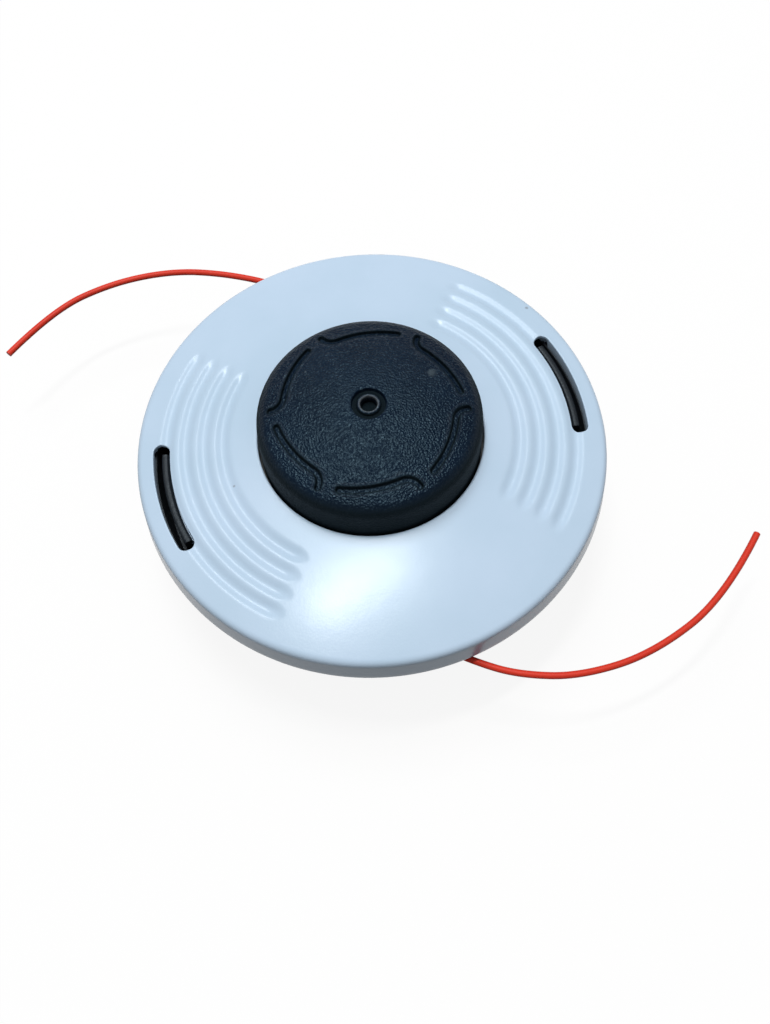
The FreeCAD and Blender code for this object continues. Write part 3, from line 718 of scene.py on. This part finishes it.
def bowl_and_post():
    """Housing turned about its axis: shaft hole, nut pocket, hub, bowl, rim and post.

    A radius below zero in the profile stands for the nut's hexagon. Each eyelet has a window.
    """
    outer = wall_rows(OUTER_WALL)
    inner = wall_rows(INNER_WALL)[::-1]
    hub_foot = ((HUB_RADIUS - HUB_ROUND, 0.0), (HUB_RADIUS, 0.0), (HUB_RADIUS, HUB_ROUND))
    hub_root = (
        (HUB_RADIUS, FLOOR_UNDER - HUB_FILLET),
        (HUB_RADIUS, FLOOR_UNDER),
        (HUB_RADIUS + HUB_FILLET, FLOOR_UNDER),
    )
    lead = np.concatenate([
        [(0.0, SHAFT_TOP), (SHAFT_RADIUS, SHAFT_TOP), (SHAFT_RADIUS, NUT_TOP)],
        [(HEXAGON, NUT_TOP), (HEXAGON, 0.0)],
        bent(*hub_foot, 5),
        bent(*hub_root, 5),
        np.linspace((FLOOR_BY_HUB, FLOOR_UNDER), (FLOOR_OUTER, FLOOR_UNDER), 4),
    ])
    floor = np.linspace((FLOOR_OUTER, FLOOR_TOP), (FLOOR_BY_POST, FLOOR_TOP), 4)
    post = np.concatenate([floor, POST])
    profile = np.concatenate([lead, outer, inner, post])
    angle = np.radians(np.arange(HOUSING_COLUMNS))
    half_flat = math.pi / NUT_CORNERS
    flats = NUT_HALF_FLATS / np.cos((angle + half_flat) % (2 * half_flat) - half_flat)
    radius = np.where(profile[:, :1] < 0, flats, profile[:, :1])
    height = np.repeat(profile[:, 1:], HOUSING_COLUMNS, 1)
    faces = grid_faces(len(profile), HOUSING_COLUMNS)
    row = faces[:, 0] // HOUSING_COLUMNS
    column = faces[:, 0] % HOUSING_COLUMNS
    bands = len(POCKET_Z) - 1
    outer_row = len(lead) + BEND_ROWS
    inner_row = len(lead) + len(outer) + 1
    keep = np.ones(len(faces), bool)
    for first_row, first in ((outer_row, OUTER_POCKET), (inner_row, INNER_POCKET)):
        near = (column - first) % (HOUSING_COLUMNS // 2) < POCKET_COLUMNS
        keep &= ~(near & (row >= first_row) & (row < first_row + bands))
    return polar_points(radius, angle[None, :], height), faces[keep]


def bowl_rib(turn):
    """Rib under the bowl: a rounded section along a spoke, deep at the hub and shallow at the bend.

    Both ends are closed by rows without width.
    """
    near, far = BOWL_RIB_ENDS
    along = np.array([near, near, BOWL_RIB_MIDDLE, far, far])
    height = np.interp(along, BOWL_RIB_ENDS, BOWL_RIB_EDGE_Z)[:, None] + BOWL_RIB_LIFT
    height[:, [0, -1]] = BOWL_RIB_ROOT_Z
    width = np.array([0.0, 1.0, 1.0, 1.0, 0.0])[:, None] * BOWL_RIB_ACROSS
    x = along[:, None] * math.cos(turn) - width * math.sin(turn)
    y = along[:, None] * math.sin(turn) + width * math.cos(turn)
    points = np.stack([x, y, height], -1).reshape(-1, 3)
    return points, grid_faces(len(along), len(BOWL_RIB_ACROSS))


def make_housing(material):
    """Black housing: bowl and post with eyelet pockets, eight ribs, six floor lugs, two tongues."""
    patches = [bowl_and_post(), eyelet_pocket(1.0), eyelet_pocket(-1.0)]
    patches.extend(bowl_rib(turn) for turn in even_turn(BOWL_RIB_COUNT))
    lug = [
        (LUG_INNER, FLOOR_LUG_FOOT), (LUG_OUTER, FLOOR_LUG_FOOT),
        (LUG_OUTER, FLOOR_LUG_TOP), (LUG_INNER, FLOOR_LUG_TOP),
    ]
    for k in range(LUG_COUNT):
        turn = math.radians(LUG_PITCH * k + FLOOR_LUG_TURN)
        patches.append(swept_arc(lug, LUG_MIDDLE, turn, FLOOR_LUG_HALF, 3))
    for side in (0.0, math.pi):
        patches.append(swept_arc(TONGUE, TONGUE_CORE, side, TONGUE_HALF, 29))
    housing = shell_object("black_housing", *joined(patches), material, sharp_angle=35.0)
    dress(housing, "housing", "housing_black", "upper_housing")


# Spring

SPRING_RADIUS = 14.6
SPRING_TURNS = 5.5
SPRING_STEPS = 308
SPRING_LOW = 9.9
SPRING_HIGH = 37.9
END_PITCH = 2.0
WIRE_RADIUS = 0.9
WIRE_SIDES = 14


def make_spring(material):
    """Compression spring: a round wire carried along a helix whose first and last turns lie close."""
    turns = np.linspace(0.0, SPRING_TURNS, SPRING_STEPS)
    knots = [0.0, 1.0, SPRING_TURNS - 1.0, SPRING_TURNS]
    levels = [SPRING_LOW, SPRING_LOW + END_PITCH, SPRING_HIGH - END_PITCH, SPRING_HIGH]
    angle = 2 * math.pi * turns
    centre = polar_points(SPRING_RADIUS, angle, np.interp(turns, knots, levels))
    ahead = np.gradient(centre, axis=0)
    ahead /= np.linalg.norm(ahead, axis=1, keepdims=True)
    out = polar_points(1.0, angle, 0 * angle)
    lift = np.cross(ahead, out)
    pick = np.concatenate([[0], np.arange(SPRING_STEPS), [SPRING_STEPS - 1]])
    wire = np.concatenate([[0.0], np.full(SPRING_STEPS, WIRE_RADIUS), [0.0]])
    round_wire = even_turn(WIRE_SIDES)[None, :, None]
    spoke = out[pick, None, :] * np.cos(round_wire) + lift[pick, None, :] * np.sin(round_wire)
    points = centre[pick, None, :] + spoke * wire[:, None, None]
    faces = grid_faces(len(pick), WIRE_SIDES)
    points = points.reshape(-1, 3)
    spring = shell_object("coil_spring", points, faces, material, sharp_angle=60.0)
    dress(spring, "housing", "spring_steel", "bump_spring")
    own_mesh(spring)


# Material helpers and shared effects

MIX_VALUES = (2, 3)
MIX_VALUE_RESULT = 0
MIX_COLOURS = (6, 7)
MIX_COLOUR_RESULT = 2


def put(tree, kind, inputs=(), **settings):
    """Adds a node to a tree, with settings, and inputs that are values or other nodes' outputs."""
    node = tree.nodes.new(kind)
    for key, value in settings.items():
        setattr(node, key, value)
    for key, value in inputs:
        if isinstance(value, bpy.types.NodeSocket):
            tree.links.new(value, node.inputs[key])
        else:
            node.inputs[key].default_value = value
    return node


def noise(tree, vector, scale, detail, roughness=0.5):
    """Soft noise about one half."""
    inputs = [("Vector", vector), ("Scale", scale), ("Detail", detail), ("Roughness", roughness)]
    return put(tree, "ShaderNodeTexNoise", inputs).outputs[0]


def cells(tree, vector, scale):
    """Random cells, with the distance to the middle of each and a colour of its own."""
    return put(tree, "ShaderNodeTexVoronoi", [("Vector", vector), ("Scale", scale)]).outputs


def maths(tree, operation, first, second):
    """Two values put together by one of the maths node's operations."""
    return put(tree, "ShaderNodeMath", [(0, first), (1, second)], operation=operation).outputs[0]


def ranged(tree, value, low=0.0, high=1.0, start=0.0, stop=1.0, **settings):
    """Value stretched from the range start to stop on to the range low to high, held at its ends."""
    source = [("Value", value), ("From Min", start), ("From Max", stop)]
    target = [("To Min", low), ("To Max", high)]
    return put(tree, "ShaderNodeMapRange", source + target, **settings).outputs[0]


def mixed(tree, share, first, second):
    """Colour between two colours by a share."""
    inputs = [(0, share), (MIX_COLOURS[0], first), (MIX_COLOURS[1], second)]
    return put(tree, "ShaderNodeMix", inputs, data_type="RGBA").outputs[MIX_COLOUR_RESULT]


def mixed_values(tree, share, first, second):
    """Value between two values by a share."""
    inputs = [(0, share), (MIX_VALUES[0], first), (MIX_VALUES[1], second)]
    return put(tree, "ShaderNodeMix", inputs).outputs[MIX_VALUE_RESULT]


def new_group(name, vectors, values, results):
    """Empty shader node group with named inputs and results; gives the group and both ends."""
    group = bpy.data.node_groups.new(name, "ShaderNodeTree")
    for socket in vectors:
        group.interface.new_socket(socket, in_out="INPUT", socket_type="NodeSocketVector")
    for socket in values:
        group.interface.new_socket(socket, in_out="INPUT", socket_type="NodeSocketFloat")
    for socket in results:
        group.interface.new_socket(socket, in_out="OUTPUT", socket_type="NodeSocketFloat")
    return group, put(group, "NodeGroupInput").outputs, put(group, "NodeGroupOutput").inputs


def grain_group():
    """Moulded grain: small noise bumps mixed with cell pits, both at one scale."""
    group, given, result = new_group("moulded_grain", ["Vector"], ["Scale"], ["Height", "FleckGlint"])
    bumps = noise(group, given["Vector"], given["Scale"], detail=2.0, roughness=0.6)
    pits = cells(group, given["Vector"], given["Scale"])["Distance"]
    group.links.new(maths(group, "ADD", bumps, pits), result["Height"])
    # Light flecks at the bumps' peaks; on the knob they are partly painted glints.
    group.links.new(ranged(group, bumps, start=0.58, stop=0.74), result["FleckGlint"])
    return group


def handling_group():
    """Handling: slow patches of tone, and thin rubbed streaks from stretched noise."""
    group, given, result = new_group("handling", ["Vector"], ["Scale"], ["Tone", "Rub"])
    slow = noise(group, given["Vector"], given["Scale"], detail=4.0, roughness=0.55)
    tone = ranged(group, slow, start=0.2, stop=0.8, interpolation_type="SMOOTHSTEP")
    stretch = put(group, "ShaderNodeMapping", [
        ("Vector", given["Vector"]), ("Rotation", (0.0, 0.0, 0.6)), ("Scale", (1.0, 9.0, 4.0))])
    streak = noise(group, stretch.outputs[0], given["Scale"], detail=5.0, roughness=0.7)
    group.links.new(tone, result["Tone"])
    group.links.new(ranged(group, streak, start=0.52, stop=0.78), result["Rub"])
    return group


def speck_group():
    """Stray specks: a small dot at the middle of a chosen share of random cells."""
    group, given, result = new_group("stray_specks", ["Vector"], ["Scale", "Share"], ["Mask"])
    spread = cells(group, given["Vector"], given["Scale"])
    dot = ranged(group, spread["Distance"], low=1.0, high=0.0, start=0.030, stop=0.055)
    pick = put(group, "ShaderNodeSeparateColor", [(0, spread["Color"])]).outputs[0]
    chosen = maths(group, "LESS_THAN", pick, given["Share"])
    group.links.new(maths(group, "MULTIPLY", dot, chosen), result["Mask"])
    return group


def spot_group():
    """One small mark with a ragged edge: the distance in plan to its middle, unsettled by noise."""
    group, given, result = new_group("small_mark", ["Vector", "Middle"], ["Radius"], ["Mask"])
    flat = [(0, given["Vector"]), (1, (1.0, 1.0, 0.0))]
    plan = put(group, "ShaderNodeVectorMath", flat, operation="MULTIPLY").outputs[0]
    apart = [(0, plan), (1, given["Middle"])]
    away = put(group, "ShaderNodeVectorMath", apart, operation="DISTANCE").outputs["Value"]
    share = maths(group, "DIVIDE", away, given["Radius"])
    ragged = maths(group, "ADD", share, noise(group, given["Vector"], scale=900.0, detail=3.0))
    mask = ranged(group, ragged, low=1.0, high=0.0, start=0.9, stop=1.5)
    group.links.new(mask, result["Mask"])
    return group


GROUPS = {
    "grain": grain_group(),
    "handling": handling_group(),
    "specks": speck_group(),
    "spot": spot_group(),
}


def new_material(name, **sockets):
    """Material with a Principled shader and its plain values, its tree, shader and coordinates."""
    material = bpy.data.materials.new(name)
    material.use_nodes = True
    tree = material.node_tree
    shader = tree.nodes["Principled BSDF"]
    for key, value in sockets.items():
        shader.inputs[key.replace("_", " ")].default_value = value
    place = put(tree, "ShaderNodeTexCoord").outputs["Object"]
    return material, tree, shader, place


def effect(tree, name, place, **values):
    """Places one of the shared effects in a material with its own values."""
    node = put(tree, "ShaderNodeGroup", node_tree=GROUPS[name])
    tree.links.new(place, node.inputs["Vector"])
    for key, value in values.items():
        node.inputs[key].default_value = value
    return node.outputs


def grained(tree, shader, *layers):
    """Bump on the normal from layers of height, strength and distance, each on top of the last."""
    below = []
    for height, strength, distance in layers:
        layer = [("Height", height), ("Strength", strength), ("Distance", distance)]
        bump = put(tree, "ShaderNodeBump", layer + below)
        below = [("Normal", bump.outputs[0])]
    tree.links.new(bump.outputs[0], shader.inputs["Normal"])


def marked(tree, place, colour, spots, share, tone):
    """Colour with small marks of another tone laid over it, each at its own middle and radius."""
    for middle, radius in spots:
        spot = effect(tree, "spot", place, Middle=middle, Radius=radius)["Mask"]
        colour = mixed(tree, ranged(tree, spot, 0.0, share), colour, tone)
    return colour


# Materials

COVER_TONES = ((0.50, 0.655, 0.81, 1.0), (0.565, 0.71, 0.88, 1.0))
COVER_GLOSS = (0.25, 0.20)
COVER_SPECK = (0.22, 0.23, 0.27, 1.0)
COVER_SPOTS = (((-0.0416, -0.0036, 0.0), 0.0005), ((0.0593, 0.0288, 0.0), 0.0007))
COVER_SPOT = (0.16, 0.15, 0.15, 1.0)
COVER_SPOT_SHARE = 0.5
KNOB_TONES = ((0.0015, 0.005, 0.015, 1.0), (0.0025, 0.009, 0.024, 1.0))
KNOB_GLOSS = (0.27, 0.21)
# Grain fleck colour, lighter than the plastic, partly a painted glint.
KNOB_FLECK_GLINT = (0.05, 0.085, 0.125, 1.0)
KNOB_FLECK_GLINT_SHARE = 0.36
KNOB_SPECK = (0.42, 0.46, 0.50, 1.0)
KNOB_SCUFFS = (((0.0199, 0.0049, 0.0), 0.0016), ((-0.0134, 0.0165, 0.0), 0.0005))
KNOB_SCUFF = (0.10, 0.13, 0.15, 1.0)
KNOB_SCUFF_SHARE = 0.4
# Painted highlight and painted shade colours, with the matt added where shade is painted.
KNOB_PAINTED_HIGHLIGHT = (0.16, 0.18, 0.20, 1.0)
KNOB_PAINTED_HIGHLIGHT_SHARE = 0.6
KNOB_PAINTED_SHADE = (0.001, 0.003, 0.005, 1.0)
KNOB_PAINTED_SHADE_MATT = 0.5


def patchy_finish(name, tones, gloss, tone_scale, grain_scale, grain, **sockets):
    """Two close tones in slow patches, rubbed streaks in the gloss, and a fine grain."""
    material, tree, shader, place = new_material(name, **sockets)
    marks = effect(tree, "handling", place, Scale=tone_scale)
    height = effect(tree, "grain", place, Scale=grain_scale)["Height"]
    tree.links.new(mixed(tree, marks["Tone"], *tones), shader.inputs["Base Color"])
    tree.links.new(ranged(tree, marks["Rub"], *gloss), shader.inputs["Roughness"])
    grained(tree, shader, (height, *grain))
    return material


def plain_metal(name, tones, gloss, tone_scale):
    """Metal with slow patches of tone and fine rubbed streaks in its gloss."""
    return patchy_finish(name, tones, gloss, tone_scale, 2500.0, (0.3, 0.00002), Metallic=1.0)


def cover_plastic():
    """Pale blue-white semi-gloss plastic with a faint grain, stray specks and two small marks."""
    material, tree, shader, place = new_material(
        "cover_white_plastic", Specular_IOR_Level=0.32, Specular_Tint=(0.87, 0.94, 1.0, 1.0))
    marks = effect(tree, "handling", place, Scale=24.0)
    grain = effect(tree, "grain", place, Scale=1500.0)
    peel = effect(tree, "grain", place, Scale=210.0)
    specks = effect(tree, "specks", place, Scale=75.0, Share=0.05)
    white = mixed(tree, marks["Tone"], *COVER_TONES)
    speckled = mixed(tree, specks["Mask"], white, COVER_SPECK)
    colour = marked(tree, place, speckled, COVER_SPOTS, COVER_SPOT_SHARE, COVER_SPOT)
    tree.links.new(colour, shader.inputs["Base Color"])
    tree.links.new(ranged(tree, marks["Tone"], *COVER_GLOSS), shader.inputs["Roughness"])
    grained(tree, shader, (peel["Height"], 0.5, 0.000016), (grain["Height"], 0.5, 0.000012))
    return material


def knob_plastic():
    """Blue-black textured plastic: flecked grain partly painted as glints, painted shade and highlight.
    """
    material, tree, shader, place = new_material(
        "knob_black_plastic", Specular_IOR_Level=0.22, Specular_Tint=(0.52, 0.83, 1.0, 1.0))
    marks = effect(tree, "handling", place, Scale=60.0)
    grain = effect(tree, "grain", place, Scale=1650.0)
    specks = effect(tree, "specks", place, Scale=160.0, Share=0.03)
    # Painted shading from the mesh: shade above zero, highlight below zero.
    painted_shade_and_highlight = put(tree, "ShaderNodeAttribute", attribute_name="painted_shade_and_highlight").outputs["Fac"]
    painted_shading = ranged(tree, painted_shade_and_highlight)
    # Share of painted highlight on groove brims and the mark's rim.
    painted_highlight = ranged(tree, painted_shade_and_highlight, 0.0, KNOB_PAINTED_HIGHLIGHT_SHARE, stop=-1.0)
    # Grain flecks, partly painted glints.
    fleck_glint = ranged(tree, grain["FleckGlint"], 0.0, KNOB_FLECK_GLINT_SHARE)
    fleck_glinted = mixed(tree, fleck_glint, mixed(tree, marks["Tone"], *KNOB_TONES), KNOB_FLECK_GLINT)
    speckled = mixed(tree, specks["Mask"], fleck_glinted, KNOB_SPECK)
    scuffed = marked(tree, place, speckled, KNOB_SCUFFS, KNOB_SCUFF_SHARE, KNOB_SCUFF)
    highlighted = mixed(tree, painted_highlight, scuffed, KNOB_PAINTED_HIGHLIGHT)
    # Painted shade in grooves, centre mark and side.
    tree.links.new(mixed(tree, painted_shading, highlighted, KNOB_PAINTED_SHADE), shader.inputs["Base Color"])
    matt = ranged(tree, painted_shading, 0.0, KNOB_PAINTED_SHADE_MATT)
    gloss = maths(tree, "ADD", ranged(tree, marks["Rub"], *KNOB_GLOSS), matt)
    tree.links.new(gloss, shader.inputs["Roughness"])
    grained(tree, shader, (grain["Height"], 0.9, 0.00018))
    return material


def make_materials():
    """Materials of the head, by the record's slot names."""
    return {
        "cover_white": cover_plastic(),
        "knob_black": knob_plastic(),
        "housing_black": patchy_finish(
            "housing_black_plastic", ((0.010, 0.013, 0.017, 1.0), (0.017, 0.021, 0.026, 1.0)),
            gloss=(0.42, 0.30), tone_scale=30.0, grain_scale=1600.0, grain=(0.6, 0.00006),
            Specular_IOR_Level=0.3, Specular_Tint=(0.80, 0.92, 1.0, 1.0)),
        "line_red": patchy_finish(
            "line_red_nylon", ((0.70, 0.040, 0.020, 1.0), (0.77, 0.052, 0.026, 1.0)),
            gloss=(0.46, 0.38), tone_scale=90.0, grain_scale=900.0, grain=(0.6, 0.00003),
            Specular_IOR_Level=0.2),
        "spool_grey": patchy_finish(
            "spool_grey_plastic", ((0.10, 0.105, 0.11, 1.0), (0.13, 0.135, 0.14, 1.0)),
            gloss=(0.48, 0.36), tone_scale=30.0, grain_scale=1500.0, grain=(0.6, 0.00005)),
        "steel": plain_metal(
            "zinc_steel", ((0.50, 0.50, 0.49, 1.0), (0.62, 0.62, 0.60, 1.0)),
            gloss=(0.42, 0.28), tone_scale=90.0),
        "spring_steel": plain_metal(
            "spring_wire_steel", ((0.36, 0.37, 0.38, 1.0), (0.46, 0.47, 0.48, 1.0)),
            gloss=(0.38, 0.26), tone_scale=120.0),
        "eyelet_metal": plain_metal(
            "eyelet_aluminium", ((0.66, 0.66, 0.67, 1.0), (0.76, 0.76, 0.77, 1.0)),
            gloss=(0.36, 0.24), tone_scale=140.0),
    }


# Stage

WHITE = (1.0, 1.0, 1.0, 1.0)
FLOOR_HALF = 3.0
FLOOR_Z = -0.0002
FLOOR_BOUNCE = (0.03, 0.034, 0.04, 1.0)
FLOOR_GLOW = {"low": 0.9, "high": 1.0, "start": 0.12, "stop": 0.6}
SKY_SOFT = {"low": 0.0, "high": 0.49, "start": 0.15, "stop": 1.0}
SKY_SHINE = {"low": 1.0, "high": 0.2, "start": 0.05, "stop": 0.3}


def make_floor():
    """Pale floor that glows white to the camera, less so near the head, where a shadow stays.

    It gives little light back to the head, and is clear from below.
    """
    mesh = bpy.data.meshes.new("floor")
    corners = [(-1, -1), (1, -1), (1, 1), (-1, 1)]
    mesh.from_pydata([(x * FLOOR_HALF, y * FLOOR_HALF, 0) for x, y in corners], [], [(0, 1, 2, 3)])
    floor = bpy.data.objects.new("floor", mesh)
    floor.location.z = FLOOR_Z
    bpy.context.scene.collection.objects.link(floor)
    paper = bpy.data.materials.new("white_paper")
    paper.use_nodes = True
    tree = paper.node_tree
    tree.nodes.clear()
    rays = put(tree, "ShaderNodeLightPath").outputs
    seen = maths(tree, "MAXIMUM", rays["Is Camera Ray"], rays["Is Glossy Ray"])
    seen = maths(tree, "MAXIMUM", seen, rays["Is Transmission Ray"])
    place = put(tree, "ShaderNodeTexCoord").outputs["Object"]
    away = put(tree, "ShaderNodeVectorMath", [(0, place)], operation="LENGTH").outputs["Value"]
    share = maths(tree, "MULTIPLY", seen, ranged(tree, away, **FLOOR_GLOW))
    matt = put(tree, "ShaderNodeBsdfDiffuse", [("Color", mixed(tree, seen, FLOOR_BOUNCE, WHITE))])
    glow = put(tree, "ShaderNodeEmission", [("Color", WHITE), ("Strength", 1.0)])
    front = [(0, share), (1, matt.outputs[0]), (2, glow.outputs[0])]
    blend = put(tree, "ShaderNodeMixShader", front)
    back = put(tree, "ShaderNodeNewGeometry").outputs["Backfacing"]
    clear = put(tree, "ShaderNodeBsdfTransparent")
    sides = [(0, back), (1, blend.outputs[0]), (2, clear.outputs[0])]
    sheet = put(tree, "ShaderNodeMixShader", sides)
    put(tree, "ShaderNodeOutputMaterial", [("Surface", sheet.outputs[0])])
    mesh.materials.append(paper)


def add_lamp(name, place, target, size, watts, colour):
    """Rectangular area lamp aimed at a point."""
    lamp = bpy.data.lights.new(name, "AREA")
    lamp.shape = "RECTANGLE"
    lamp.size, lamp.size_y = size
    lamp.energy = watts
    lamp.color = colour
    holder = bpy.data.objects.new(name, lamp)
    holder.location = place
    ahead = Vector(target) - Vector(place)
    holder.rotation_euler = ahead.to_track_quat("-Z", "Y").to_euler()
    bpy.context.scene.collection.objects.link(holder)


def make_sky():
    """White background, with a soft light from above and a brighter band near the horizon in gloss."""
    world = bpy.data.worlds.new("even_sky")
    bpy.context.scene.world = world
    world.use_nodes = True
    tree = world.node_tree
    sky = tree.nodes["Background"]
    sky.inputs["Color"].default_value = WHITE
    place = put(tree, "ShaderNodeTexCoord").outputs["Generated"]
    up = put(tree, "ShaderNodeSeparateXYZ", [(0, place)]).outputs["Z"]
    soft = ranged(tree, up, **SKY_SOFT)
    shine = ranged(tree, up, **SKY_SHINE)
    rays = put(tree, "ShaderNodeLightPath").outputs
    lit = mixed_values(tree, rays["Is Glossy Ray"], soft, shine)
    direct = maths(tree, "MAXIMUM", rays["Is Camera Ray"], rays["Is Transmission Ray"])
    tree.links.new(mixed_values(tree, direct, lit, 1.0), sky.inputs["Strength"])


def make_stage():
    """White floor, a narrow ceiling lamp for the glare, a broad lamp at the back and an even sky."""
    bpy.context.scene.view_settings.view_transform = "Standard"
    make_floor()
    add_lamp(
        "ceiling_lamp", place=(-0.045, 0.11, 1.15), target=(-0.01, -0.03, 0.045),
        size=(0.32, 0.06), watts=5.4, colour=(1.0, 0.99, 0.97))
    add_lamp(
        "back_lamp", place=(0.03, 0.45, 1.3), target=(0.0, 0.0, 0.03),
        size=(0.50, 0.40), watts=5.8, colour=(0.97, 0.985, 1.0))
    make_sky()


# Solids that stay, and the scene

NODE_SLOTS = {
    "arbor_insert": "steel",
    "line_eyelet_1": "eyelet_metal",
    "line_eyelet_2": "eyelet_metal",
    "thrust_washer": "steel",
    "line_spool": "spool_grey",
    "line_pack_upper": "line_red",
    "line_pack_lower": "line_red",
    "line_lead_1": "line_red",
    "line_lead_2": "line_red",
}


def dress_nodes(materials):
    """Gives each solid node that stays its slot's material."""
    for node, slot in NODE_SLOTS.items():
        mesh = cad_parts[node].data
        mesh.materials.clear()
        mesh.materials.append(materials[slot])


aim_camera()
materials = make_materials()
for node, route in LINE_ROUTES.items():
    free_line(node, route, materials["line_red"])
make_cover(materials["cover_white"])
make_knob(materials["knob_black"])
make_housing(materials["housing_black"])
make_spring(materials["spring_steel"])
dress_nodes(materials)
make_stage()
